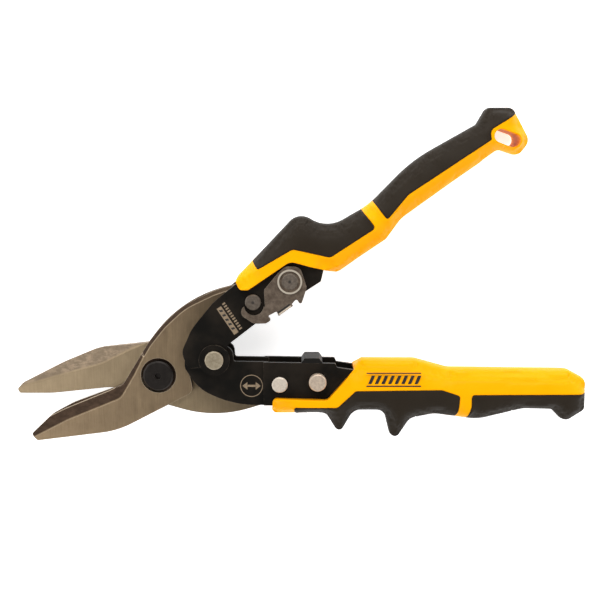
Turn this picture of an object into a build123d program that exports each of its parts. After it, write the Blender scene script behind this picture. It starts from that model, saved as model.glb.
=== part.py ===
from build123d import *
import os
from math import acos, asin, atan2, cos, degrees, hypot, radians, sin

# Compound-action aviation snips lying flat on their back, handles open.
# X runs along the lower handle, Y towards the upper handle, Z along the pivots.
# The origin is on the blade pivot, at the end of its nut, where the tool rests.

os.makedirs("parts", exist_ok=True)

# The four-bar linkage, in millimetres and degrees
blade_arm = 56.0  # blade pivot to each blade pin
handle_arm = 32.0  # handle hinge to each blade pin
arm_half_angle = 21.0  # half the angle between the two blade arms, open
linkage_tilt = 17.3  # direction of the handle hinge seen from the blade pivot

# Layers, as distances from the shear plane between the blades
shear_z = 12.0
blade_gap = 0.03
blade_t = 4.4
lower_ear = (4.7, 6.5)
lower_plate = (6.0, 7.8)
upper_plate = (6.8, 8.6)
latch_plate = (8.9, 10.7)
grip_half = 12.0
sheet = 1.8  # steel of the handles and of the latch

# Pins and their running clearance
bolt_r = 4.0
pin_r = 3.0
hinge_r = 3.5
running = 0.05
open_pivot_play = 0.35  # the linkage is opened here, so this hole is larger


def polar(radius, angle, about=(0.0, 0.0)):
    """The point at a radius and an angle from another point."""
    turn = radians(angle)
    return (about[0] + radius * cos(turn), about[1] + radius * sin(turn))


handle_half_angle = degrees(asin(blade_arm * sin(radians(arm_half_angle)) / handle_arm))
hinge_reach = blade_arm * cos(radians(arm_half_angle)) - handle_arm * cos(radians(handle_half_angle))
blade_pivot = (0.0, 0.0)
hinge = polar(hinge_reach, linkage_tilt)
upper_pin = polar(blade_arm, linkage_tilt + arm_half_angle)
lower_pin = polar(blade_arm, linkage_tilt - arm_half_angle)
latch_pivot = (60.6, 44.3)
catch_pin = (73.2, -2.1)


def outline(corners):
    """A flat face from rows of x, y and corner radius."""
    with BuildSketch() as face:
        with BuildLine():
            FilletPolyline(
                *[(x, y) for x, y, radius in corners],
                radius=[radius for x, y, radius in corners],
                close=True,
            )
        make_face()
    return face.sketch


def disc(centre, radius, hole=0.0):
    """A flat disc or ring."""
    with BuildSketch() as face:
        with Locations(centre):
            Circle(radius)
            if hole:
                Circle(hole, mode=Mode.SUBTRACT)
    return face.sketch


def ribbon(corners, width):
    """A strip of constant width along a line with rounded corners."""
    ends = (corners[0], corners[-1])
    with BuildSketch() as face:
        with BuildLine() as path:
            FilletPolyline(
                *[(x, y) for x, y, radius in corners],
                radius=[row[2] for row in corners if row not in ends],
            )
        trace(path.line, width)
    return face.sketch


def strip(start, end, width):
    """A rectangle along the left of the line from start to end."""
    first = Vector(*start)
    last = Vector(*end)
    across = (last - first).normalized().rotate(Axis.Z, 90) * width
    with BuildSketch() as face:
        with BuildLine():
            Polyline(first, last, last + across, first + across, close=True)
        make_face()
    return face.sketch


def slab(face, low, high, mode=Mode.ADD):
    """Extrudes a face between two heights measured from the shear plane."""
    extrude(Plane.XY.offset(shear_z + low) * face, amount=high - low, mode=mode)


def grind(face, top, depth, taper):
    """Cuts a face down from a height, with walls that slope out of the cut."""
    extrude(Plane.XY.offset(shear_z + top) * face, amount=-depth, taper=taper, mode=Mode.SUBTRACT)


def both_sides(face, near, far, mode=Mode.ADD):
    """The same slab in front of the shear plane and behind it."""
    slab(face, near, far, mode)
    slab(face, -far, -near, mode)


def save(piece, name):
    """Labels a finished piece and writes it."""
    piece.part.label = name
    export_step(piece.part, f"parts/{name}.step")


# ---------------------------------------------------------------- blades

front_blade_corners = [
    (-59.6, -27.9, 0.8),
    (-50.2, -18.9, 20),
    (-40.0, -13.4, 40),
    (-16.8, -4.8, 6),
    (-4.4, 15.4, 10),
    (10.9, 35.5, 58),
    (44.0, 44.2, 6),
    (52.4, 36.5, 6),
    (47.5, 27.6, 6),
    (29.5, 20.5, 8),
    (17.0, 20.5, 6),
    (12.9, 8.0, 6),
    (15.9, -7.8, 3.5),
    (-19.5, -26.2, 40),
    (-56.9, -30.9, 2),
]
# The ridge between the flat face and the hollow ground behind the cutting edge
front_ridge = [
    (-66.0, -33.4, 0),
    (-42.5, -21.2, 40),
    (-17.4, -10.9, 6),
    (-10.7, 0.4, 8),
    (-3.0, 15.6, 0),
    (-20.0, 30.0, 0),
    (-70.0, 0.0, 0),
]
hollow_depth = 3.2
hollow_taper = 62.0
# A narrow steeper facet along the cutting edge
front_facet = [
    (-63.0, -30.4, 0),
    (-50.2, -20.2, 20),
    (-39.4, -14.8, 40),
    (-16.2, -6.3, 4),
    (-2.6, 15.4, 0),
    (-20.0, 30.0, 0),
    (-70.0, 0.0, 0),
]
facet_start = 1.6
facet_depth = 1.2
facet_taper = 50.0
# The ground bevel along the outer edge of the curved arm
arm_bevel = [
    (-6.4, 8.6, 0),
    (-3.4, 13.6, 15),
    (3.4, 22.2, 30),
    (13.0, 31.0, 30),
    (26.0, 37.2, 20),
    (42.0, 42.6, 0),
    (42.0, 60.0, 0),
    (-30.0, 60.0, 0),
    (-30.0, 8.6, 0),
]
bevel_depth = 1.6
bevel_taper = 48.0

# The bolt's head sits in a round recess in the front blade
bolt_head_r = 6.9
bolt_head_rise = 1.6
recess_r = 8.1
recess_depth = 1.8

with BuildPart() as front_blade:
    slab(outline(front_blade_corners), blade_gap, blade_t)
    grind(outline(front_ridge), blade_t, hollow_depth, hollow_taper)
    grind(outline(front_facet), facet_start, facet_depth, facet_taper)
    grind(outline(arm_bevel), blade_t, bevel_depth, bevel_taper)
    slab(disc(blade_pivot, recess_r), blade_t - recess_depth, blade_t, Mode.SUBTRACT)
    slab(disc(blade_pivot, bolt_r + running), -1, blade_t, Mode.SUBTRACT)
    slab(disc(upper_pin, pin_r + running), -1, blade_t + 1, Mode.SUBTRACT)
save(front_blade, "front_blade")

rear_blade_corners = [
    (-66.3, -7.4, 0.9),
    (-64.2, -4.9, 1.5),
    (-44.9, 4.9, 60),
    (-28.0, 11.9, 25),
    (8.7, 15.9, 3.5),
    (15.2, 0.7, 6),
    (25.6, -7.0, 7),
    (36.0, 0.6, 8),
    (56.0, 4.6, 6),
    (64.0, -3.0, 6),
    (55.5, -12.3, 5),
    (25.8, -21.4, 54),
    (-5.5, -12.3, 8),
    (-12.0, -6.4, 4),
    (-24.7, -6.6, 30),
    (-50.0, -9.3, 60),
    (-65.2, -9.3, 0.8),
]
# The line above which the rear blade's face falls away to its back edge
rear_crease = [
    (-68.0, -7.6, 0),
    (-44.7, -0.9, 60),
    (-26.2, 4.2, 25),
    (-13.3, 10.8, 40),
    (-1.0, 16.0, 0),
    (-10.0, 40.0, 0),
    (-80.0, 20.0, 0),
]
relief_depth = 2.6
relief_taper = 72.0

with BuildPart() as rear_blade:
    slab(outline(rear_blade_corners), -blade_t, -blade_gap)
    grind(outline(rear_crease), 0, relief_depth, relief_taper)
    slab(disc(blade_pivot, bolt_r + open_pivot_play), -blade_t - 1, 1, Mode.SUBTRACT)
    slab(disc(lower_pin, pin_r + running), -blade_t - 1, 1, Mode.SUBTRACT)
save(rear_blade, "rear_blade")

# ---------------------------------------------------------------- blade pivot

bolt_edge = 0.6
dimple_r = 1.7
dimple_depth = 1.3
washer_r = 8.4
washer_t = 1.0
washer_top = -blade_t - running
nut_corner_r = 7.4
nut_edge = 0.8
nut_top = washer_top - washer_t

with BuildPart() as pivot_bolt:
    slab(disc(blade_pivot, bolt_head_r), blade_t - recess_depth, blade_t + bolt_head_rise)
    chamfer(pivot_bolt.edges().group_by(Axis.Z)[-1], bolt_edge)
    slab(disc(blade_pivot, bolt_r), -grip_half, blade_t - recess_depth)
    with BuildSketch(Plane.XY.offset(shear_z + blade_t + bolt_head_rise)):
        RegularPolygon(dimple_r, 6)
    extrude(amount=-dimple_depth, mode=Mode.SUBTRACT)
save(pivot_bolt, "pivot_bolt")

with BuildPart() as pivot_washer:
    slab(disc(blade_pivot, washer_r, bolt_r + running), nut_top, washer_top)
save(pivot_washer, "pivot_washer")

with BuildPart() as pivot_nut:
    with BuildSketch(Plane.XY):
        RegularPolygon(nut_corner_r, 6)
    extrude(amount=grip_half + nut_top)
    chamfer(pivot_nut.edges().group_by(Axis.Z)[0], nut_edge)
    slab(disc(blade_pivot, bolt_r), -grip_half, nut_top, Mode.SUBTRACT)
save(pivot_nut, "pivot_nut")

# ---------------------------------------------------------------- handle frames

upper_frame_corners = [
    (14.2, 4.2, 1.0),
    (11.2, 11.5, 6),
    (16.0, 22.3, 20),
    (26.0, 34.6, 25),
    (37.8, 44.2, 3),
    (41.6, 45.9, 3),
    (64.3, 66.6, 6),
    (77.5, 61.5, 12),
    (90.0, 66.5, 15),
    (110.5, 85.0, 20),
    (140.5, 105.0, 2),
    (144.6, 100.3, 2),
    (112.6, 80.0, 15),
    (99.2, 65.6, 10),
    (82.5, 52.0, 4),
    (75.8, 49.6, 1.0),
    (74.6, 44.2, 1.5),
    (45.2, 25.0, 40),
    (32.3, 15.0, 3),
    (30.0, 5.0, 0),
]
upper_web_line = [
    (43.4, 46.3, 0),
    (64.5, 65.4, 6),
    (77.5, 60.5, 12),
    (89.6, 65.4, 15),
    (110.2, 84.0, 20),
    (140.0, 103.4, 0),
]
boss_r = 7.0
boss_top = 9.4

with BuildSketch() as upper_web_face:
    add(ribbon(upper_web_line, sheet))
    add(outline(upper_frame_corners), mode=Mode.INTERSECT)

with BuildPart() as upper_handle_frame:
    both_sides(outline(upper_frame_corners), *upper_plate)
    both_sides(disc(hinge, boss_r), upper_plate[0], boss_top)
    slab(upper_web_face.sketch, -upper_plate[0], upper_plate[0])
    both_sides(disc(hinge, hinge_r), 0, grip_half, Mode.SUBTRACT)
    both_sides(disc(upper_pin, pin_r), 0, grip_half, Mode.SUBTRACT)
    both_sides(disc(latch_pivot, pin_r), 0, grip_half, Mode.SUBTRACT)
save(upper_handle_frame, "upper_handle_frame")

lower_frame_corners = [
    (12.3, 4.2, 4),
    (12.6, 11.0, 4),
    (18.0, 17.0, 6),
    (28.0, 17.0, 6),
    (34.4, 12.0, 4),
    (34.8, 7.0, 1),
    (81.3, 6.3, 0.8),
    (82.0, 4.4, 0.8),
    (112.0, 0.2, 10),
    (184.0, -4.6, 2),
    (184.0, -10.2, 2),
    (150.0, -13.8, 10),
    (96.0, -13.4, 0),
    (35.1, -13.4, 45),
    (18.2, -5.8, 22),
]
lower_web_line = [
    (66.0, -12.5, 0),
    (96.0, -12.5, 40),
    (150.0, -12.8, 20),
    (182.0, -9.5, 0),
]
joggle_x = 49.5  # the plates step outwards here, round the grip's end of the frame
joggle_overlap = 1.0

with BuildSketch() as lower_ear_face:
    add(outline(lower_frame_corners))
    with Locations((joggle_x + joggle_overlap, 0)):
        Rectangle(100, 100, align=(Align.MAX, Align.CENTER), mode=Mode.INTERSECT)
with BuildSketch() as lower_plate_face:
    add(outline(lower_frame_corners))
    with Locations((joggle_x - joggle_overlap, 0)):
        Rectangle(200, 100, align=(Align.MIN, Align.CENTER), mode=Mode.INTERSECT)

with BuildSketch() as lower_web_face:
    add(ribbon(lower_web_line, sheet))
    add(outline(lower_frame_corners), mode=Mode.INTERSECT)

with BuildPart() as lower_handle_frame:
    both_sides(lower_ear_face.sketch, *lower_ear)
    both_sides(lower_plate_face.sketch, *lower_plate)
    slab(lower_web_face.sketch, -lower_plate[0], lower_plate[0])
    both_sides(disc(hinge, hinge_r + running), 0, grip_half, Mode.SUBTRACT)
    both_sides(disc(lower_pin, pin_r), 0, grip_half, Mode.SUBTRACT)
    both_sides(disc(catch_pin, pin_r), 0, grip_half, Mode.SUBTRACT)
save(lower_handle_frame, "lower_handle_frame")

# ---------------------------------------------------------------- hinge, pins and spring

head_edge = 0.4
bush_r = 4.9


def rivet(centre, shaft_r, head_r, near, far):
    """A pin with a chamfered head on each side of the tool."""
    with BuildPart() as pin:
        slab(disc(centre, shaft_r), -near, near)
        both_sides(disc(centre, head_r), near, far)
        chamfer(pin.edges().group_by(Axis.Z)[0], head_edge)
        chamfer(pin.edges().group_by(Axis.Z)[-1], head_edge)
    return pin


handle_pivot_rivet = rivet(hinge, hinge_r, 4.2, boss_top, 10.6)
save(handle_pivot_rivet, "handle_pivot_rivet")

with BuildPart() as hinge_bush:
    slab(disc(hinge, bush_r, hinge_r + running), -lower_ear[0], lower_ear[0])
save(hinge_bush, "hinge_bush")

upper_blade_pin = rivet(upper_pin, pin_r, 3.6, upper_plate[1], 9.8)
save(upper_blade_pin, "upper_blade_pin")
lower_blade_pin = rivet(lower_pin, pin_r, 3.6, lower_plate[1], 8.9)
save(lower_blade_pin, "lower_blade_pin")
latch_rivet = rivet(latch_pivot, pin_r, 3.7, latch_plate[1], 11.4)
save(latch_rivet, "latch_rivet")
latch_catch_pin = rivet(catch_pin, pin_r, 3.95, lower_plate[1], 11.3)
save(latch_catch_pin, "latch_catch_pin")

collar_r = 5.0
with BuildPart() as upper_pin_spacer:
    slab(disc(upper_pin, collar_r, pin_r), -upper_plate[0], -blade_gap)
save(upper_pin_spacer, "upper_pin_spacer")
with BuildPart() as upper_pin_washer:
    slab(disc(upper_pin, collar_r, pin_r), blade_t + running, upper_plate[0])
save(upper_pin_washer, "upper_pin_washer")
with BuildPart() as lower_pin_spacer:
    slab(disc(lower_pin, collar_r, pin_r), blade_gap, lower_plate[0])
save(lower_pin_spacer, "lower_pin_spacer")
with BuildPart() as lower_pin_washer:
    slab(disc(lower_pin, collar_r, pin_r), -lower_plate[0], -blade_t - running)
save(lower_pin_washer, "lower_pin_washer")

# The torsion spring is wound round the bush; its legs push the two spacers apart.
wire_r = 0.8
coil_r = 6.0
coil_turns = 2  # whole turns, besides the part turn between the legs
leg_z = 2.7
leg_gap = 0.6
leg_reach = collar_r + wire_r + leg_gap
upper_leg_end = polar(leg_reach, -34, upper_pin)
lower_leg_end = polar(leg_reach, 75, lower_pin)


def leaves_at(target, side):
    """The angle at which a straight leg to the target leaves the coil."""
    dx = target[0] - hinge[0]
    dy = target[1] - hinge[1]
    return degrees(atan2(dy, dx)) + side * degrees(acos(coil_r / hypot(dx, dy)))


coil_start = leaves_at(upper_leg_end, 1)
coil_sweep = coil_turns + (leaves_at(lower_leg_end, -1) - coil_start) % 360 / 360
coil_plane = Plane(
    origin=(hinge[0], hinge[1], shear_z - leg_z),
    x_dir=(cos(radians(coil_start)), sin(radians(coil_start)), 0),
    z_dir=(0, 0, 1),
)

coil = coil_plane * Helix(2 * leg_z / coil_sweep, 2 * leg_z, coil_r)
lower_end = coil @ 0
upper_end = coil @ 1
first_leg = Line((upper_leg_end[0], upper_leg_end[1], lower_end.Z), lower_end)
last_leg = Line(upper_end, (lower_leg_end[0], lower_leg_end[1], upper_end.Z))
wire = Wire([first_leg.edge(), coil.edge(), last_leg.edge()])

with BuildPart() as return_spring:
    with BuildSketch(Plane(origin=first_leg @ 0, z_dir=first_leg % 0)):
        Circle(wire_r)
    sweep(path=wire, is_frenet=True)
save(return_spring, "return_spring")

# ---------------------------------------------------------------- latch

latch_corners = [
    (55.1, 47.9, 3),
    (58.6, 51.2, 4),
    (65.2, 51.0, 4),
    (68.2, 41.6, 3),
    (65.6, 33.4, 0.8),
    (63.6, 36.6, 0.8),
    (61.4, 34.0, 0.4),
    (62.0, 33.3, 0),
    (55.6, 28.7, 0),
    (54.6, 30.8, 0.4),
    (50.7, 28.7, 0.6),
    (52.2, 26.8, 0.8),
    (49.8, 25.3, 1),
    (44.4, 25.2, 5),
    (36.8, 30.2, 3),
    (40.6, 33.6, 0.8),
    (41.2, 31.0, 0.3),
    (49.4, 33.0, 0.3),
    (49.0, 40.6, 2),
]
hook_centre = (44.4, 33.3)
hook_r = 4.4
ring_r = 5.55
ring_hole = 4.8
ring_top = 11.5
bridge_start = (56.6, 29.42)
bridge_end = (58.9, 31.07)

with BuildPart() as latch_lever:
    both_sides(outline(latch_corners), *latch_plate)
    slab(strip(bridge_start, bridge_end, sheet), -latch_plate[0], latch_plate[0])
    both_sides(disc(latch_pivot, ring_r), latch_plate[1], ring_top)
    both_sides(disc(latch_pivot, ring_hole), latch_plate[1], grip_half, Mode.SUBTRACT)
    both_sides(disc(hook_centre, hook_r), 0, grip_half, Mode.SUBTRACT)
    both_sides(disc(latch_pivot, pin_r + running), 0, grip_half, Mode.SUBTRACT)
save(latch_lever, "latch_lever")

bumper_stem = [
    (66.5, -8.5, 0.5),
    (66.5, 6.0, 0),
    (74.8, 6.0, 0),
    (77.5, -8.5, 0.5),
]
bumper_cap = [
    (65.8, 6.7, 0),
    (67.2, 8.7, 0.8),
    (73.9, 8.7, 0.8),
    (75.4, 6.6, 0),
    (73.0, 5.0, 0),
    (68.0, 5.0, 0),
]

with BuildPart() as handle_stop_bumper:
    slab(outline(bumper_stem), -lower_plate[0], lower_plate[0])
    slab(outline(bumper_cap), -lower_plate[1], lower_plate[1])
    both_sides(outline(lower_frame_corners), *lower_plate, Mode.SUBTRACT)
    slab(disc(catch_pin, pin_r), -grip_half, grip_half, Mode.SUBTRACT)
save(handle_stop_bumper, "handle_stop_bumper")

# ---------------------------------------------------------------- grips

upper_grip_corners = [
    (35.9, 44.6, 1.8),
    (64.5, 75.0, 7.5),
    (77.4, 67.2, 14),
    (96.2, 78.1, 40),
    (115.6, 98.0, 70),
    (144.0, 114.0, 1.5),
    (148.2, 121.4, 3.5),
    (159.8, 121.4, 3.5),
    (168.0, 106.6, 5),
    (162.8, 99.8, 4),
    (153.6, 102.9, 4),
    (110.8, 72.0, 15),
    (104.2, 62.7, 4),
    (82.0, 47.7, 2.5),
    (60.8, 53.4, 5),
    (41.9, 40.5, 1.8),
    (37.8, 40.5, 1.8),
]
upper_front_pad_area = [
    (42.9, 53.5, 0),
    (46.2, 49.8, 0.8),
    (61.9, 59.0, 3),
    (78.7, 55.3, 3),
    (98.8, 68.4, 1.5),
    (90.0, 79.6, 0),
    (70.0, 95.0, 0),
]
upper_rear_pad_area = [
    (95.8, 82.4, 0),
    (104.0, 72.1, 1.0),
    (113.2, 83.3, 6),
    (149.2, 107.2, 0.5),
    (148.6, 111.4, 3),
    (162.0, 119.6, 0),
    (166.0, 130.0, 0),
    (110.0, 130.0, 0),
]
lower_grip_corners = [
    (51.9, -17.9, 2.0),
    (52.9, -9.6, 2.0),
    (77.6, -10.3, 2.5),
    (93.0, 7.3, 2.5),
    (118.0, 7.2, 8),
    (133.5, 2.9, 10),
    (188.8, 2.2, 5),
    (196.9, -2.2, 3),
    (196.9, -16.2, 3),
    (187.5, -22.4, 4),
    (181.5, -16.2, 3),
    (168.0, -15.8, 15),
    (147.0, -21.0, 25),
    (127.0, -18.2, 12),
    (116.2, -20.4, 5),
    (107.9, -33.2, 2.7),
    (103.9, -16.4, 5),
    (90.2, -16.4, 6),
    (83.3, -28.4, 2.45),
    (76.9, -17.9, 4),
]
lower_front_pad_area = [
    (62.6, -13.6, 1.0),
    (82.3, -13.7, 2.5),
    (90.6, -5.9, 1.5),
    (129.7, -5.4, 4),
    (138.0, -8.2, 1.5),
    (137.6, -13.5, 6),
    (136.0, -20.0, 0),
    (136.0, -45.0, 0),
    (62.6, -45.0, 0),
]
lower_rear_pad_area = [
    (143.4, -7.7, 1.5),
    (205.0, -7.5, 0),
    (205.0, -45.0, 0),
    (141.4, -45.0, 0),
    (141.4, -20.0, 0),
    (143.4, -13.1, 6),
]
grip_edge_r = 1.6
lanyard_slot_w = 5.8
tang_room_r = 12.0  # the rear blade's tang turns inside the front of the lower grip

with BuildPart() as upper_grip_form:
    slab(outline(upper_grip_corners), -grip_half, grip_half)
    fillet(upper_grip_form.faces().filter_by(Axis.Z).edges(), grip_edge_r)
    with BuildSketch(Plane.XY):
        with Locations(Location((156.4, 107.9), -20)):
            SlotCenterToCenter(6.2, lanyard_slot_w)
    extrude(amount=2 * grip_half, mode=Mode.SUBTRACT)
    slab(outline(upper_frame_corners), -upper_plate[1], upper_plate[1], Mode.SUBTRACT)

with BuildPart() as lower_grip_form:
    slab(outline(lower_grip_corners), -grip_half, grip_half)
    fillet(lower_grip_form.faces().filter_by(Axis.Z).edges(), grip_edge_r)
    slab(outline(lower_frame_corners), -lower_plate[1], lower_plate[1], Mode.SUBTRACT)
    slab(disc(lower_pin, tang_room_r), -lower_ear[0], lower_ear[0], Mode.SUBTRACT)


def grip_piece(form, areas, mode):
    """The part of a grip inside the given areas, or what is left outside them."""
    with BuildPart() as piece:
        add(form.part)
        for area in areas:
            slab(outline(area), -grip_half, grip_half, mode)
    return piece


upper_areas = (upper_front_pad_area, upper_rear_pad_area)
lower_areas = (lower_front_pad_area, lower_rear_pad_area)
save(grip_piece(upper_grip_form, upper_areas, Mode.SUBTRACT), "upper_grip_shell")
save(grip_piece(upper_grip_form, (upper_front_pad_area,), Mode.INTERSECT), "upper_front_pad")
save(grip_piece(upper_grip_form, (upper_rear_pad_area,), Mode.INTERSECT), "upper_rear_pad")
save(grip_piece(lower_grip_form, lower_areas, Mode.SUBTRACT), "lower_grip_shell")
save(grip_piece(lower_grip_form, (lower_front_pad_area,), Mode.INTERSECT), "lower_front_pad")
save(grip_piece(lower_grip_form, (lower_rear_pad_area,), Mode.INTERSECT), "lower_rear_pad")
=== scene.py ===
from math import cos, pi, radians, sin

import bmesh
import bpy
import numpy as np
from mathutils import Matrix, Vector
from mathutils.geometry import delaunay_2d_cdt


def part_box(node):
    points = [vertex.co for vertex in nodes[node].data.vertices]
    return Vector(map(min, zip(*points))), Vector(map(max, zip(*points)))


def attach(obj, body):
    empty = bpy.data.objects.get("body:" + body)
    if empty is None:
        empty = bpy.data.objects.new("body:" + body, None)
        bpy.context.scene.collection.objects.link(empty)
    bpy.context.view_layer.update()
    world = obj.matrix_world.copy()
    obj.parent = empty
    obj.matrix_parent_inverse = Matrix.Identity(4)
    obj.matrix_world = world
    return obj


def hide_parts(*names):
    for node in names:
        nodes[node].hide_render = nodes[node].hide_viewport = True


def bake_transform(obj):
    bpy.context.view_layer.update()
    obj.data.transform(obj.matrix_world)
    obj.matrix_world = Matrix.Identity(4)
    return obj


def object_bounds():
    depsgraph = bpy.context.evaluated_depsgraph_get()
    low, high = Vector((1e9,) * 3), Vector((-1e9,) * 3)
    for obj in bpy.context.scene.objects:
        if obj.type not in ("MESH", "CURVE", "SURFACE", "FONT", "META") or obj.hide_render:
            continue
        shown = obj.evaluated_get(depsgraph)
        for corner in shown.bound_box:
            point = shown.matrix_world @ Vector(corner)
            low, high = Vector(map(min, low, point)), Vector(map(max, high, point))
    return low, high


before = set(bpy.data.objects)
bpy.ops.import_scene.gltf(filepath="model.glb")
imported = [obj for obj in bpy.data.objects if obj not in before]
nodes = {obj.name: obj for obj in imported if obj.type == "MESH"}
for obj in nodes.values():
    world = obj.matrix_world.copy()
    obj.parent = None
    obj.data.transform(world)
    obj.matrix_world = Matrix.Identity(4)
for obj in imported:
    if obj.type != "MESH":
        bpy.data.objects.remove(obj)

# Aviation snips on a pale floor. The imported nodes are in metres, and mm scales millimetre values.

mm = 0.001
cad_box = [list(corner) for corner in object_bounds()]
floor_z = cad_box[0][2]

# Heights in the CAD model: the plane where the blades meet, and the sheets' outer faces from it
shear_z = 12 * mm
blade_out = 4.4 * mm
lower_ear_out = 6.5 * mm
lower_plate_out = 7.8 * mm
upper_plate_out = 8.6 * mm
latch_out = 10.7 * mm

scene = bpy.context.scene
scene.view_settings.view_transform = "Standard"


def centre(node):
    """The middle of a CAD node's box."""
    low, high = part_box(node)
    return (low + high) / 2


# ---------------------------------------------------------------- materials


class Paint:
    """A material and short calls that build its node tree. Textures are in millimetres."""

    def __init__(self, name, roughness=0.5, metallic=0.0, specular=0.5):
        self.material = bpy.data.materials.new(name)
        self.material.use_nodes = True
        self.tree = self.material.node_tree
        self.shader = self.tree.nodes["Principled BSDF"]
        self.shader.inputs["Roughness"].default_value = roughness
        self.shader.inputs["Metallic"].default_value = metallic
        self.shader.inputs["Specular IOR Level"].default_value = specular
        self.place = self.node("ShaderNodeTexCoord").outputs["Object"]

    def node(self, kind, **settings):
        made = self.tree.nodes.new(kind)
        for key, value in settings.items():
            setattr(made, key, value)
        return made

    def feed(self, socket, value):
        """Links an output into a socket, or sets the socket to a number or colour."""
        if isinstance(value, bpy.types.NodeSocket):
            self.tree.links.new(value, socket)
        else:
            socket.default_value = value

    def math(self, operation, a, b=0.0, c=0.0, clamp=False):
        made = self.node("ShaderNodeMath", operation=operation, use_clamp=clamp)
        for socket, value in zip(made.inputs, (a, b, c)):
            self.feed(socket, value)
        return made.outputs[0]

    def noise(self, size, detail=3.0, stretch=(1, 1, 1), turn=0.0, rough=0.55):
        """Noise whose features are about size millimetres, stretched along turned axes."""
        place = self.node("ShaderNodeMapping")
        self.feed(place.inputs["Vector"], self.place)
        place.inputs["Rotation"].default_value = (0, 0, radians(turn))
        place.inputs["Scale"].default_value = [1 / (size * mm * s) for s in stretch]
        made = self.node("ShaderNodeTexNoise")
        made.inputs["Scale"].default_value = 1.0
        made.inputs["Detail"].default_value = detail
        made.inputs["Roughness"].default_value = rough
        self.feed(made.inputs["Vector"], place.outputs[0])
        return made.outputs["Fac"]

    def ramp(self, value, low, high):
        """0 where value is under low, 1 where it is over high."""
        made = self.node("ShaderNodeMapRange", interpolation_type="SMOOTHSTEP")
        self.feed(made.inputs["Value"], value)
        made.inputs["From Min"].default_value = low
        made.inputs["From Max"].default_value = high
        return made.outputs["Result"]

    def mix(self, share, a, b):
        made = self.node("ShaderNodeMix", data_type="RGBA")
        self.feed(made.inputs["Factor"], share)
        self.feed(made.inputs[6], colour(a))
        self.feed(made.inputs[7], colour(b))
        return made.outputs[2]

    def part_of_place(self, axis):
        """One coordinate of the surface, in millimetres."""
        split = self.node("ShaderNodeSeparateXYZ")
        self.feed(split.inputs[0], self.place)
        return self.math("MULTIPLY", split.outputs["XYZ".index(axis)], 1 / mm)

    def edge(self, radius, low=0.02, high=0.25):
        """1 along sharp edges, from how far a rounded normal turns away from the real one."""
        rounded = self.node("ShaderNodeBevel", samples=6)
        rounded.inputs["Radius"].default_value = radius * mm
        plain = self.node("ShaderNodeNewGeometry").outputs["Normal"]
        dot = self.node("ShaderNodeVectorMath", operation="DOT_PRODUCT")
        self.feed(dot.inputs[0], rounded.outputs[0])
        self.feed(dot.inputs[1], plain)
        turned = self.math("SUBTRACT", 1.0, dot.outputs["Value"])
        return self.ramp(turned, low, high)

    def around(self, point, near, far):
        """1 within near millimetres of a vertical line through point, 0 past far."""
        level = self.node("ShaderNodeVectorMath", operation="MULTIPLY")
        self.feed(level.inputs[0], self.place)
        level.inputs[1].default_value = (1, 1, 0)
        gap = self.node("ShaderNodeVectorMath", operation="DISTANCE")
        self.feed(gap.inputs[0], level.outputs[0])
        gap.inputs[1].default_value = (point[0], point[1], 0)
        return self.math("SUBTRACT", 1.0, self.ramp(gap.outputs["Value"], near * mm, far * mm))

    def bump(self, height, depth, strength=1.0):
        made = self.node("ShaderNodeBump")
        made.inputs["Strength"].default_value = strength
        made.inputs["Distance"].default_value = depth * mm
        self.feed(made.inputs["Height"], height)
        self.feed(self.shader.inputs["Normal"], made.outputs[0])

    def colour(self, value):
        self.feed(self.shader.inputs["Base Color"], value)

    def roughness(self, value, low, high):
        spread = self.math("MULTIPLY_ADD", value, high - low, low)
        self.feed(self.shader.inputs["Roughness"], spread)


def colour(value):
    """A colour with its alpha, or an output as it is."""
    if isinstance(value, bpy.types.NodeSocket):
        return value
    return (*value, 1.0)


def yellow_plastic():
    paint = Paint("yellow_plastic", roughness=0.38, specular=0.04)
    cloud = paint.noise(9, detail=2)
    paint.colour(paint.mix(cloud, (0.93, 0.375, 0.0), (0.97, 0.41, 0.002)))
    grain = paint.noise(0.35, detail=2)
    paint.roughness(grain, 0.32, 0.46)
    paint.bump(grain, 0.012)
    return paint.material


def black_rubber():
    paint = Paint("black_rubber", roughness=0.62, specular=0.12)
    cloud = paint.noise(9, detail=3)
    paint.colour(paint.mix(cloud, (0.016, 0.011, 0.0065), (0.022, 0.016, 0.010)))
    grain = paint.noise(0.28, detail=3)
    paint.roughness(grain, 0.5, 0.72)
    paint.bump(grain, 0.03)
    return paint.material


def bumper_rubber():
    paint = Paint("bumper_rubber", roughness=0.5, specular=0.12)
    grain = paint.noise(0.5, detail=3)
    paint.colour(paint.mix(grain, (0.005, 0.0045, 0.004), (0.010, 0.009, 0.008)))
    paint.bump(grain, 0.02)
    return paint.material


def black_coat():
    """Satin black coating on the handle plates, lighter along the sheared edges: partly coating worn thin,
    partly a painted highlight.
    """
    paint = Paint("black_coat", roughness=0.42, specular=0.12)
    cloud = paint.noise(14, detail=4)
    base = paint.mix(paint.ramp(cloud, 0.3, 0.7), (0.0035, 0.003, 0.0022), (0.014, 0.0105, 0.0075))
    patches = paint.ramp(paint.noise(5, detail=4), 0.38, 0.62)
    # Lighter edges: partly worn coating, partly a painted highlight
    rim = paint.math("MULTIPLY", paint.edge(0.35, 0.03, 0.3), patches)
    paint.colour(paint.mix(rim, base, (0.13, 0.105, 0.08)))
    grain = paint.noise(0.4, detail=4)
    paint.roughness(grain, 0.34, 0.54)
    paint.bump(grain, 0.02)
    return paint.material


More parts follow.
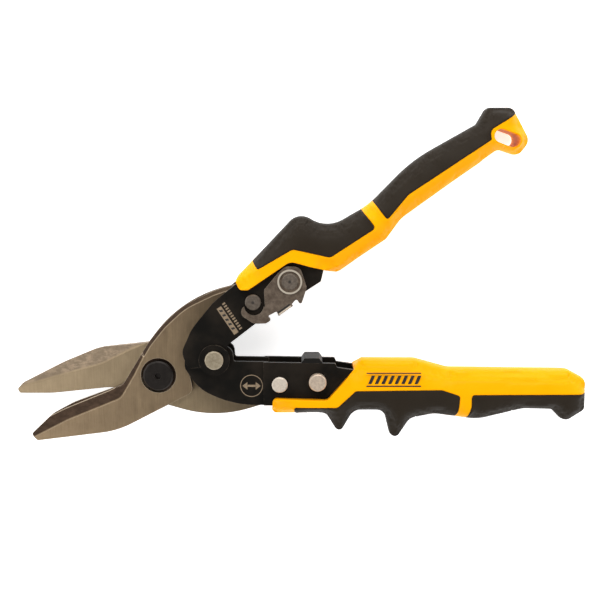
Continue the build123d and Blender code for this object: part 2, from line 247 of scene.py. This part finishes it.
def ground_steel(name, light, dark, relief, painted_crease_tone, relief_top, relief_low, lines_turn, tip_x, heel_x):
    """Forged and ground blade steel.

    Faces below relief_top have the rougher mottled relief, whole from relief_low down. Edges take
    the crease colour as painted light: a painted highlight on the front blade, a painted shadow
    line on the rear blade. The steel darkens from tip_x to heel_x, a painted shade towards the
    handle plates. All of them are in millimetres.
    """
    paint = Paint(name, roughness=0.4, metallic=0.9)
    cloud = paint.noise(7, detail=6, rough=0.65)
    lines = paint.noise(0.45, detail=4, stretch=(1, 24, 1), turn=lines_turn, rough=0.75)
    streaks = paint.math("MULTIPLY_ADD", paint.ramp(lines, 0.32, 0.68), 0.36, -0.18)
    flat = paint.mix(paint.math("ADD", cloud, streaks, clamp=True), dark, light)
    mottle = paint.noise(1.7, detail=6, rough=0.72, stretch=(2.2, 1, 1), turn=25)
    spots = paint.math("MULTIPLY", paint.ramp(mottle, 0.38, 0.62), paint.ramp(cloud, 0.30, 0.55))
    rough_relief = paint.mix(spots, [c * 0.62 for c in relief], relief)
    below = paint.math("SUBTRACT", 1.0, paint.ramp(paint.part_of_place("Z"), relief_low, relief_top))
    base = paint.mix(below, flat, rough_relief)
    # Painted shade: darker towards the heel, where the blade runs in under the handle plates
    painted_heel_shade = paint.math("MULTIPLY", paint.ramp(paint.part_of_place("X"), tip_x, heel_x), 0.55)
    base = paint.mix(painted_heel_shade, base, [c * 0.35 for c in dark])
    # Painted light along edges and creases, in each blade's crease colour: a highlight on the front blade,
    # a shadow line on the rear blade
    wear_and_painted_crease = paint.math("MULTIPLY", paint.edge(0.45, 0.004, 0.05), 0.6)
    paint.colour(paint.mix(wear_and_painted_crease, base, painted_crease_tone))
    paint.roughness(paint.math("ADD", lines, below, clamp=True), 0.28, 0.55)
    paint.bump(paint.math("MULTIPLY_ADD", mottle, below, lines), 0.06, 0.6)
    return paint.material


def latch_steel():
    """Dull sheet steel; the ring that stands on it is brighter."""
    paint = Paint("latch_steel", roughness=0.42, metallic=0.8)
    cloud = paint.noise(3.2, detail=6, rough=0.7)
    base = paint.mix(paint.ramp(cloud, 0.3, 0.7), (0.12, 0.088, 0.065), (0.24, 0.185, 0.14))
    # Lighter along sharp edges: partly rubbed steel, partly a painted highlight
    rim = paint.edge(0.3, 0.02, 0.3)
    base = paint.mix(paint.math("MULTIPLY", rim, 0.55), base, (0.62, 0.54, 0.44))
    plate_z = (shear_z + latch_out) / mm
    ring_top = paint.ramp(paint.part_of_place("Z"), plate_z + 0.2, plate_z + 0.5)
    paint.colour(paint.mix(ring_top, base, (0.70, 0.62, 0.51)))
    grain = paint.noise(0.5, detail=4)
    paint.roughness(grain, 0.34, 0.55)
    paint.bump(grain, 0.03)
    return paint.material


def rivet_steel(name, node, light, dark, punched=False):
    """Turned rivet ends, with a punched centre where there is one."""
    paint = Paint(name, roughness=0.33, metallic=0.55)
    mottle = paint.noise(1.1, detail=5, rough=0.65)
    base = paint.mix(paint.ramp(mottle, 0.25, 0.75), dark, light)
    # Lighter along the head's edges: partly rubbed steel, partly a painted highlight
    rim = paint.edge(0.3, 0.02, 0.3)
    base = paint.mix(paint.math("MULTIPLY", rim, 0.4), base, (0.9, 0.86, 0.78))
    height = mottle
    if punched:
        # The punched centre is painted dark as well as sunk by the bump: painted shade in the dimple
        dot = paint.around(centre(node), 0.4, 1.1)
        base = paint.mix(paint.math("MULTIPLY", dot, 0.75), base, (0.03, 0.027, 0.025))
        height = paint.math("SUBTRACT", mottle, paint.math("MULTIPLY", dot, 3.0))
    paint.colour(base)
    paint.roughness(mottle, 0.25, 0.45)
    paint.bump(height, 0.06, 0.6)
    return paint.material


def plain_steel():
    paint = Paint("plain_steel", roughness=0.4, metallic=0.9)
    cloud = paint.noise(1.6, detail=5)
    paint.colour(paint.mix(cloud, (0.14, 0.125, 0.115), (0.30, 0.28, 0.26)))
    paint.roughness(cloud, 0.3, 0.5)
    paint.bump(cloud, 0.02)
    return paint.material


def black_oxide():
    paint = Paint("black_oxide", roughness=0.34, metallic=0.55)
    cloud = paint.noise(2.0, detail=5)
    base = paint.mix(cloud, (0.009, 0.007, 0.006), (0.024, 0.019, 0.016))
    # Lighter along sharp edges: partly rubbed oxide, partly a painted highlight
    rim = paint.math("MULTIPLY", paint.edge(0.35, 0.02, 0.3), 0.5)
    paint.colour(paint.mix(rim, base, (0.11, 0.095, 0.085)))
    paint.roughness(cloud, 0.26, 0.46)
    paint.bump(cloud, 0.03)
    return paint.material


def matt_mark(name, base, fade):
    """Matt print that is a little worn; also the painted light lines on the latch bend."""
    paint = Paint(name, roughness=0.5)
    wear_and_painted_crease = paint.noise(0.5, detail=4)
    paint.colour(paint.mix(paint.ramp(wear_and_painted_crease, 0.45, 0.75), base, fade))
    paint.bump(wear_and_painted_crease, 0.004)
    return paint.material


# ---------------------------------------------------------------- outlines read from the frame


def loops_at(node, height):
    """The closed outlines where a level plane cuts a CAD node: arrays of x, y, longest first."""
    bm = bmesh.new()
    bm.from_mesh(nodes[node].data)
    bmesh.ops.remove_doubles(bm, verts=bm.verts, dist=2e-6)
    everything = bm.verts[:] + bm.edges[:] + bm.faces[:]
    cut = bmesh.ops.bisect_plane(bm, geom=everything, plane_co=(0, 0, height), plane_no=(0, 0, 1))
    beside = {}
    for edge in cut["geom_cut"]:
        if isinstance(edge, bmesh.types.BMEdge):
            for a, b in (edge.verts, reversed(edge.verts)):
                beside.setdefault(a, []).append(b)
    loops = []
    left = set(beside)
    while left:
        start = min(left, key=lambda v: (v.co.x, v.co.y))
        walk = [start]
        left.discard(start)
        while True:
            onward = [v for v in beside[walk[-1]] if v in left]
            if not onward:
                break
            walk.append(onward[0])
            left.discard(onward[0])
        loops.append(np.array([(v.co.x, v.co.y) for v in walk]))
    bm.free()
    return sorted((thin(loop) for loop in loops), key=lambda loop: -abs(area(loop)))


def area(loop):
    x, y = loop.T
    return 0.5 * float(np.sum(x * np.roll(y, -1) - np.roll(x, -1) * y))


def thin(loop, gap=0.02 * mm):
    """The loop without points that lie almost on the one before."""
    kept = [loop[0]]
    for point in loop[1:]:
        if np.hypot(*(point - kept[-1])) > gap:
            kept.append(point)
    return np.array(kept)


def spaced(loop, step):
    """The loop with its long stretches divided."""
    points = []
    for a, b in zip(loop, np.roll(loop, -1, axis=0)):
        count = max(1, int(np.ceil(np.hypot(*(b - a)) / step)))
        points += [a + (b - a) * i / count for i in range(count)]
    return np.array(points)


def segments(loop):
    return np.hstack([loop, np.roll(loop, -1, axis=0)])


def distance(points, lines):
    """The distance from each point to the nearest of some line segments."""
    nearest = np.full(len(points), 1.0)
    for x0, y0, x1, y1 in lines:
        along = np.array([x1 - x0, y1 - y0])
        span = max(float(along @ along), 1e-16)
        off = points - (x0, y0)
        share = np.clip(off @ along / span, 0, 1)[:, None]
        nearest = np.minimum(nearest, np.hypot(*(off - share * along).T))
    return nearest


def inside(points, loops):
    """Which points lie in the area that the loops bound, holes left out."""
    within = np.zeros(len(points), bool)
    x, y = points.T
    for loop in loops:
        for x0, y0, x1, y1 in segments(loop):
            if y0 != y1:
                within ^= ((y0 > y) != (y1 > y)) & (x < (x1 - x0) * (y - y0) / (y1 - y0) + x0)
    return within


# ---------------------------------------------------------------- grips

grip_half = 12 * mm
edge_round = 5.0 * mm  # width of the rounding along a grip's outer edge
side_half = 1.2 * mm  # half the upright band round the middle of a grip
fullness = 1.7  # the rounding's shape: 1 is a flat bevel, 2 a quarter of an ellipse
cover_t = 1.1 * mm  # least thickness over the steel frame
cover_margin = 0.5 * mm  # the cover reaches this far past the frame, then falls away
cover_slope = 2.2
groove_round = 0.45 * mm  # small rounding where two pieces of a grip meet
sink_t = 0.3 * mm  # how far smoothing may thin that cover
fixed_rim = 0.6 * mm  # smoothing leaves points nearer the border as they are
section_height = 9.5 * mm  # above the cavity and below the CAD edge rounding
grid_step = 1.0 * mm
ring_angles = (12, 26, 41, 57, 74, 90)  # where rings of points follow a rounding
ring_fit = 0.04  # how exactly such a point keeps its distance from the edge
seam_gap = 0.05 * mm  # outlines nearer than this touch
least_area = 2 * mm * mm  # smaller outlines are slivers


def piece_object(name, verts, faces, body, slot, material, smooth=True):
    """A new mesh piece that rides on a body."""
    mesh = bpy.data.meshes.new(name)
    mesh.from_pydata([tuple(v) for v in verts], [], faces)
    mesh.validate()
    mesh.shade_smooth() if smooth else mesh.shade_flat()
    made = bpy.data.objects.new(name, mesh)
    scene.collection.objects.link(made)
    mesh.materials.append(material)
    if body:
        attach(made, body)
    return made


def grip_height(points, outer, top):
    """Half the grip's thickness, rounded off to the silhouette."""
    share = np.clip(distance(points, outer) / edge_round, 0, 1)
    return side_half + (top - side_half) * (1 - (1 - share) ** fullness) ** (1 / fullness)


def over_frame(points, plate_out, frame_loop):
    """The least half thickness that covers the steel frame."""
    gap = np.where(inside(points, [frame_loop]), 0, distance(points, segments(frame_loop)))
    return plate_out + cover_t - cover_slope * np.maximum(gap - cover_margin, 0)


def seam_drop(points, inner):
    """How far the small rounding along the seams lowers the surface."""
    if not len(inner):
        return 0
    share = np.clip(distance(points, inner) / groove_round, 0, 1)
    return groove_round * (1 - np.sqrt(1 - (1 - share) ** 2))


def grip_mesh(node, others, top, plate_out, frame_loop):
    """Vertices and faces of one grip piece inside its CAD outline."""
    height = shear_z + section_height
    loops = [spaced(loop, grid_step) for loop in loops_at(node, height)]
    loops = [loop for loop in loops if abs(area(loop)) > least_area]
    loops = [loop if (area(loop) > 0) == (i == 0) else loop[::-1] for i, loop in enumerate(loops)]
    seams = np.vstack([segments(loops_at(other, height)[0]) for other in others])
    border = np.vstack([segments(loop) for loop in loops])
    middles = (border[:, :2] + border[:, 2:]) / 2
    on_seam = (distance(middles, seams) < seam_gap) | inside(middles, [frame_loop])
    outer_count = len(loops[0])
    on_seam[outer_count:] = True  # a hole has the small rounding too
    outer, inner = border[~on_seam], border[on_seam]

    points = [np.vstack(loops)]
    for loop in loops:
        along = np.roll(loop, -1, axis=0) - np.roll(loop, 1, axis=0)
        inward = np.stack([-along[:, 1], along[:, 0]], 1) / np.hypot(*along.T)[:, None]
        for size, lines in ((edge_round, outer), (groove_round, inner)):
            for angle in ring_angles:
                offset = size * (1 - cos(radians(angle)))
                ring = loop + inward * offset
                fits = np.abs(distance(ring, border) - offset) < ring_fit * offset
                fits &= np.abs(distance(ring, lines) - offset) < ring_fit * offset
                points.append(ring[fits])
    low, high = loops[0].min(0), loops[0].max(0)
    xs, ys = np.meshgrid(*(np.arange(a, b, grid_step) for a, b in zip(low, high)))
    grid = np.stack([xs.ravel(), ys.ravel()], 1)
    grid[:, 0] += (np.arange(len(grid)) // xs.shape[1] % 2) * grid_step / 2
    grid = grid[inside(grid, loops)]
    gap = distance(grid, border)
    points.append(grid[gap > groove_round + 0.25 * mm])
    flat = np.vstack(points)

    edges = []
    start = 0
    for loop in loops:
        count = len(loop)
        edges += [(start + i, start + (i + 1) % count) for i in range(count)]
        start += count
    result = delaunay_2d_cdt([Vector(p) for p in flat / mm], edges, [], 1, 0.002, True)
    flat = np.array([tuple(v) for v in result[0]]) * mm
    triangles = np.array([tuple(f) for f in result[2]])
    kept = inside(flat[triangles].mean(1), loops)
    triangles = triangles[kept]
    free = distance(flat, border) > fixed_rim
    half = relaxed(flat, triangles, grip_height(flat, outer, top), free)
    half = np.minimum(top, np.maximum(half, over_frame(flat, plate_out, frame_loop)))
    half = relaxed(flat, triangles, half, free, rounds=5)
    half = np.maximum(half, over_frame(flat, plate_out - sink_t, frame_loop)) - seam_drop(flat, inner)
    return close_form(flat, half, triangles)


def relaxed(flat, triangles, half, free, rounds=24):
    """The heights of the free points, averaged a few times with their neighbours."""
    pairs = np.vstack([triangles[:, [0, 1]], triangles[:, [1, 2]], triangles[:, [2, 0]]])
    pairs = np.vstack([pairs, pairs[:, ::-1]])
    count = np.bincount(pairs[:, 0], minlength=len(flat))
    for _ in range(rounds):
        total = np.bincount(pairs[:, 0], half[pairs[:, 1]], minlength=len(flat))
        half = np.where(free & (count > 0), total / np.maximum(count, 1), half)
    return half


def close_form(flat, half, triangles):
    """Joins a top, its mirror image below and the upright sides between them."""
    used = sorted(set(triangles.ravel().tolist()))
    renumber = {old: new for new, old in enumerate(used)}
    flat, half = flat[used], half[used]
    triangles = [[renumber[i] for i in t] for t in triangles.tolist()]
    turn = [1 if cross(flat, t) > 0 else -1 for t in triangles]
    triangles = [t[::s] for t, s in zip(triangles, turn)]
    count = len(flat)
    verts = [(x, y, shear_z + h) for (x, y), h in zip(flat, half)]
    verts += [(x, y, shear_z - h) for (x, y), h in zip(flat, half)]
    faces = triangles + [[i + count for i in reversed(t)] for t in triangles]
    sides = {}
    for a, b, c in triangles:
        for edge in ((a, b), (b, c), (c, a)):
            sides[edge] = sides.get(edge[::-1], 0) + 1
    rims = [edge for edge in sides if edge[::-1] not in sides]
    faces += [[b, a, a + count, b + count] for a, b in rims]
    return verts, faces


def cross(flat, triangle):
    a, b, c = (flat[i] for i in triangle)
    return (b[0] - a[0]) * (c[1] - a[1]) - (b[1] - a[1]) * (c[0] - a[0])


def prism(name, loop, low, high):
    """A plain upright solid used as a cutter."""
    count = len(loop)
    loop = loop if area(loop) > 0 else loop[::-1]
    verts = [(x, y, low) for x, y in loop] + [(x, y, high) for x, y in loop]
    faces = [list(reversed(range(count))), list(range(count, 2 * count))]
    faces += [[i, (i + 1) % count, (i + 1) % count + count, i + count] for i in range(count)]
    mesh = bpy.data.meshes.new(name)
    mesh.from_pydata(verts, [], faces)
    made = bpy.data.objects.new(name, mesh)
    scene.collection.objects.link(made)
    return made


def circle(middle, radius, count=48):
    turns = [2 * pi * i / count for i in range(count)]
    return np.array([(middle[0] + radius * cos(t), middle[1] + radius * sin(t)) for t in turns])


def hollow(piece, cutters):
    """Cuts the cutters out of a piece and applies the result."""
    for cutter in cutters:
        cut = piece.modifiers.new("hollow", "BOOLEAN")
        cut.object = cutter
        cut.solver = "EXACT"
    ready = piece.evaluated_get(bpy.context.evaluated_depsgraph_get())
    mesh = bpy.data.meshes.new_from_object(ready)
    if len(mesh.vertices) < len(piece.data.vertices) / 2:
        raise RuntimeError(piece.name + " was lost when its cavity was cut")
    piece.modifiers.clear()
    piece.data = mesh


def plate_loop(frame_node, plate_height):
    """A handle frame's outline at a height inside its front sheet."""
    return loops_at(frame_node, shear_z + plate_height)[0]


yellow = yellow_plastic()
rubber = black_rubber()

grips = {
    "upper_handle": {
        "pieces": ("upper_grip_shell", "upper_front_pad", "upper_rear_pad"),
        "frame_loop": plate_loop("upper_handle_frame", upper_plate_out - 0.9 * mm),
        "plate_out": upper_plate_out,
    },
    "lower_handle": {
        "pieces": ("lower_grip_shell", "lower_front_pad", "lower_rear_pad"),
        "frame_loop": plate_loop("lower_handle_frame", lower_plate_out - 0.8 * mm),
        "plate_out": lower_plate_out,
    },
}
tang_room_r = 12 * mm  # the rear blade's tang turns inside the front of the lower grip
tang_room_half = 4.7 * mm
shell_drop = 0.35 * mm  # the soft pads stand this far proud of the hard shell

for body, grip in grips.items():
    plate_out = grip["plate_out"]
    cutters = [prism("cavity", grip["frame_loop"], shear_z - plate_out, shear_z + plate_out)]
    if body == "lower_handle":
        room = circle(centre("lower_blade_pin"), tang_room_r)
        cutters.append(prism("tang_room", room, shear_z - tang_room_half, shear_z + tang_room_half))
    for node in grip["pieces"]:
        soft = node.endswith("pad")
        others = [other for other in grip["pieces"] if other != node]
        top = grip_half if soft else grip_half - shell_drop
        form = grip_mesh(node, others, top, plate_out, grip["frame_loop"])
        slot = "black_grip_rubber" if soft else "yellow_grip_plastic"
        made = piece_object(node + "_form", *form, None, slot, rubber if soft else yellow)
        hollow(made, cutters)
        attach(made, body)
        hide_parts(node)
    for cutter in cutters:
        bpy.data.objects.remove(cutter)

# ---------------------------------------------------------------- materials on the CAD nodes

front_top = (shear_z + blade_out) / mm
rear_top = shear_z / mm
finishes = {
    "front_blade": ground_steel(
        "front_blade_steel",
        light=(0.37, 0.27, 0.165),
        dark=(0.23, 0.165, 0.10),
        relief=(0.075, 0.047, 0.031),
        # painted highlight along the front blade's creases
        painted_crease_tone=(0.66, 0.54, 0.40),
        relief_top=front_top - 0.05,
        relief_low=front_top - 0.4,
        lines_turn=60,
        tip_x=5,
        heel_x=32,
    ),
    "rear_blade": ground_steel(
        "rear_blade_steel",
        light=(0.46, 0.35, 0.22),
        dark=(0.31, 0.235, 0.145),
        relief=(0.36, 0.275, 0.19),
        # painted shadow line along the rear blade's creases
        painted_crease_tone=(0.14, 0.10, 0.07),
        relief_top=rear_top - 0.1,
        relief_low=rear_top - 0.5,
        lines_turn=8,
        tip_x=5,
        heel_x=45,
    ),
    "latch_lever": latch_steel(),
    "handle_pivot_rivet": rivet_steel(
        "hinge_rivet", "handle_pivot_rivet", (0.49, 0.42, 0.30), (0.30, 0.245, 0.17)
    ),
    "lower_blade_pin": rivet_steel(
        "blade_rivet", "lower_blade_pin", (0.90, 0.80, 0.68), (0.70, 0.61, 0.51)
    ),
    "latch_catch_pin": rivet_steel(
        "catch_rivet", "latch_catch_pin", (0.78, 0.64, 0.50), (0.56, 0.44, 0.34)
    ),
    # The two rivets on the upper handle get much darker colours than the others: painted shade, for the
    # darker surroundings that they reflect
    "upper_blade_pin": rivet_steel(
        "upper_rivet", "upper_blade_pin", (0.19, 0.155, 0.125), (0.11, 0.088, 0.068), punched=True
    ),
    "latch_rivet": rivet_steel(
        "latch_rivet_steel", "latch_rivet", (0.22, 0.18, 0.145), (0.12, 0.098, 0.078), punched=True
    ),
    "handle_stop_bumper": bumper_rubber(),
}
coat = black_coat()
steel = plain_steel()
oxide = black_oxide()
for node in ("upper_handle_frame", "lower_handle_frame"):
    finishes[node] = coat
for node in ("upper_pin_spacer", "upper_pin_washer", "lower_pin_spacer", "lower_pin_washer", "hinge_bush"):
    finishes[node] = steel
for node in ("pivot_bolt", "pivot_nut", "pivot_washer"):
    finishes[node] = oxide

for node, material in finishes.items():
    nodes[node].data.materials.clear()
    nodes[node].data.materials.append(material)

# ---------------------------------------------------------------- plain printed marks, and painted light on the latch bend

mark_low = -0.02 * mm  # a mark starts just under the surface and stands a little above it
mark_high = 0.05 * mm


def stamp(name, shapes, surface, body, slot, material):
    """Thin flat shapes lying on a level surface: lists of corners, anticlockwise."""
    verts, faces = [], []
    for corners in shapes:
        first, count = len(verts), len(corners)
        verts += [(x * mm, y * mm, surface + mark_low) for x, y in corners]
        verts += [(x * mm, y * mm, surface + mark_high) for x, y in corners]
        faces.append([first + i for i in reversed(range(count))])
        faces.append([first + count + i for i in range(count)])
        for i in range(count):
            after = (i + 1) % count
            faces.append([first + i, first + after, first + after + count, first + i + count])
    return piece_object(name, verts, faces, body, slot, material, smooth=False)


def bar(x, y, width, height, slant=0.0, turn=0.0, about=(0, 0)):
    """A bar with its lower left corner at x, y, then turned about a point."""
    corners = [(x, y), (x + width, y), (x + width + slant, y + height), (x + slant, y + height)]
    c, t = cos(radians(turn)), sin(radians(turn))
    offsets = [(px - about[0], py - about[1]) for px, py in corners]
    return [(about[0] + dx * c - dy * t, about[1] + dx * t + dy * c) for dx, dy in offsets]


def ring(middle, inner, outer, count=48):
    """A ring as a row of four-sided shapes."""
    def at(radius, i):
        angle = 2 * pi * i / count
        return (middle[0] + radius * cos(angle), middle[1] + radius * sin(angle))
    return [[at(inner, i), at(outer, i), at(outer, i + 1), at(inner, i + 1)] for i in range(count)]


# Dark print; the same colour is the painted shadow line along the latch bend
dark_ink_and_painted_shadow = matt_mark("dark_ink_and_painted_shadow", (0.012, 0.010, 0.009), (0.02, 0.017, 0.014))
tan_ink = matt_mark("tan_ink", (0.24, 0.175, 0.11), (0.12, 0.088, 0.058))

# Slanted bars between two lines on the lower grip
lines_x, lines_length, line_t = 95.3, 24.8, 0.55
low_line, high_line = -3.7, 2.35
bar_step, bar_w, bar_h, bar_slant, bar_count = 3.0, 1.5, 3.9, 1.6, 8
bars_x, bars_y = lines_x + 0.8, low_line + 1.35
bars = [bar(lines_x, y, lines_length, line_t) for y in (low_line, high_line)]
bars += [bar(bars_x + bar_step * i, bars_y, bar_w, bar_h, slant=bar_slant) for i in range(bar_count)]
stamp("grip_mark", bars, shear_z + grip_half - shell_drop, "lower_handle", "black_handle_steel", dark_ink_and_painted_shadow)

# A block and a row of short bars on the upper handle plate
upper_plate_top = shear_z + upper_plate_out
corner = (27.5, 31.6)
turned = {"turn": -56.5, "about": corner}
gap_step, gap_count = 2.4, 5
tick_step, tick_count = 1.35, 11
block = [bar(*corner, 14.2, 2.4, **turned)]
gaps = [bar(28.6 + gap_step * i, 32.1, 1.0, 1.4, slant=0.5, **turned) for i in range(gap_count)]
ticks = [bar(26.9 + tick_step * i, 34.9, 0.75, 1.5, **turned) for i in range(tick_count)]
stamp("plate_mark", block + ticks, upper_plate_top, "upper_handle", "latch_steel", tan_ink)
stamp("plate_mark_gaps", gaps, upper_plate_top + mark_high, "upper_handle", "black_handle_steel", dark_ink_and_painted_shadow)

# A ring with a plain two-ended arrow on the lower handle plate
lower_plate_top = shear_z + lower_ear_out
ring_middle, ring_outer, ring_t = (42.9, -4.4), 5.2, 0.35
shaft, tip, wing, neck = 1.0, 4.2, 1.8, 1.9
x, y = ring_middle
emblem = ring(ring_middle, ring_outer - ring_t, ring_outer) + [
    bar(x - neck - 0.2, y - shaft / 2, 2 * neck + 0.4, shaft),
    [(x - tip, y), (x - neck, y - wing), (x - neck, y + wing)],
    [(x + tip, y), (x + neck, y + wing), (x + neck, y - wing)],
]
stamp("direction_mark", emblem, lower_plate_top, "lower_handle", "latch_steel", tan_ink)

# Painted light along the latch's lower bend: a painted highlight line, and a painted shadow line beside it
bend_start, bend_length, bend_turn = (55.6, 28.7), 7.9, 35.7
# Painted highlight colour for the latch bend
bend_highlight = matt_mark("painted_bend_highlight", (0.50, 0.42, 0.33), (0.30, 0.24, 0.18))
bend_lines = (
    ("latch_bend_highlight", 0.15, 0.75, bend_highlight),
    ("latch_bend_shadow", 1.0, 0.8, dark_ink_and_painted_shadow),
)
for name, near, width, painted_tone in bend_lines:
    x, y = bend_start[0] + 0.5, bend_start[1] + near
    line = bar(x, y, bend_length - 1.2, width, turn=bend_turn, about=bend_start)
    stamp(name, [line], shear_z + latch_out, "latch", "latch_steel", painted_tone)

# ---------------------------------------------------------------- return spring

# The spring's legs follow the handles, each near its handle's blade pin
spring_mesh = nodes["return_spring"].data.copy()
spring_mesh.materials.clear()
spring_mesh.materials.append(steel)
spring = bpy.data.objects.new("return_spring_wire", spring_mesh)
scene.collection.objects.link(spring)
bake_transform(spring)
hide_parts("return_spring")

# ---------------------------------------------------------------- floor, light and camera


floor_glow = 0.7  # a lit table, so that shadows on it stay faint


def floor_material():
    paint = Paint("pale_floor", roughness=0.9, specular=0.1)
    paint.colour(paint.mix(paint.noise(60, detail=2), (0.93, 0.93, 0.93), (0.96, 0.96, 0.96)))
    paint.shader.inputs["Emission Color"].default_value = (1, 1, 1, 1)
    paint.shader.inputs["Emission Strength"].default_value = floor_glow
    return paint.material


def floor(size=60.0):
    half = size / 2
    verts = [(-half, -half, floor_z), (half, -half, floor_z), (half, half, floor_z), (-half, half, floor_z)]
    mesh = bpy.data.meshes.new("floor")
    mesh.from_pydata(verts, [], [(0, 1, 2, 3)])
    mesh.materials.append(floor_material())
    made = bpy.data.objects.new("floor", mesh)
    scene.collection.objects.link(made)


def area_light(name, place, target, size, power):
    light = bpy.data.lights.new(name, "AREA")
    light.shape = "RECTANGLE"
    light.size, light.size_y = size
    light.energy = power
    made = bpy.data.objects.new(name, light)
    made.location = place
    made.rotation_euler = (Vector(target) - Vector(place)).to_track_quat("-Z", "Y").to_euler()
    scene.collection.objects.link(made)


sky_levels = ((0.0, 1.0), (0.5, 1.0), (0.85, 0.14))  # how high, as the sine of the height, and how bright
sky_strength = 0.85


def sky():
    """Soft white light from the sides, and a darker sky straight above."""
    world = bpy.data.worlds.new("studio")
    scene.world = world
    world.use_nodes = True
    tree = world.node_tree
    background = tree.nodes["Background"]
    place = tree.nodes.new("ShaderNodeTexCoord")
    split = tree.nodes.new("ShaderNodeSeparateXYZ")
    ramp = tree.nodes.new("ShaderNodeValToRGB")
    tree.links.new(place.outputs["Generated"], split.inputs[0])
    tree.links.new(split.outputs["Z"], ramp.inputs[0])
    stops = ramp.color_ramp.elements
    for height, level in sky_levels:
        stops.new(height).color = (level, level * 0.99, level * 0.97, 1)
    stops.remove(stops[-1])  # the ramp's own last and first stops
    stops.remove(stops[0])
    tree.links.new(ramp.outputs[0], background.inputs["Color"])
    background.inputs["Strength"].default_value = sky_strength


target = (0.06, 0.03, shear_z)
floor()
sky()
area_light("key", (0.10, 0.75, 0.65), target, (0.9, 0.5), 8)
area_light("fill", (-0.55, -0.25, 0.6), target, (0.6, 0.6), 3)
area_light("rim", (0.65, -0.45, 0.6), target, (0.6, 0.6), 2.5)

camera = bpy.data.cameras.new("camera")
camera.lens = 63.18
camera.sensor_width = 36
camera.clip_start = 0.01
viewpoint = bpy.data.objects.new("camera", camera)
viewpoint.location = (0.06697, 0.10710, 0.4967)
viewpoint.rotation_euler = (radians(-8.74), 0, 0)
scene.collection.objects.link(viewpoint)
scene.camera = viewpoint
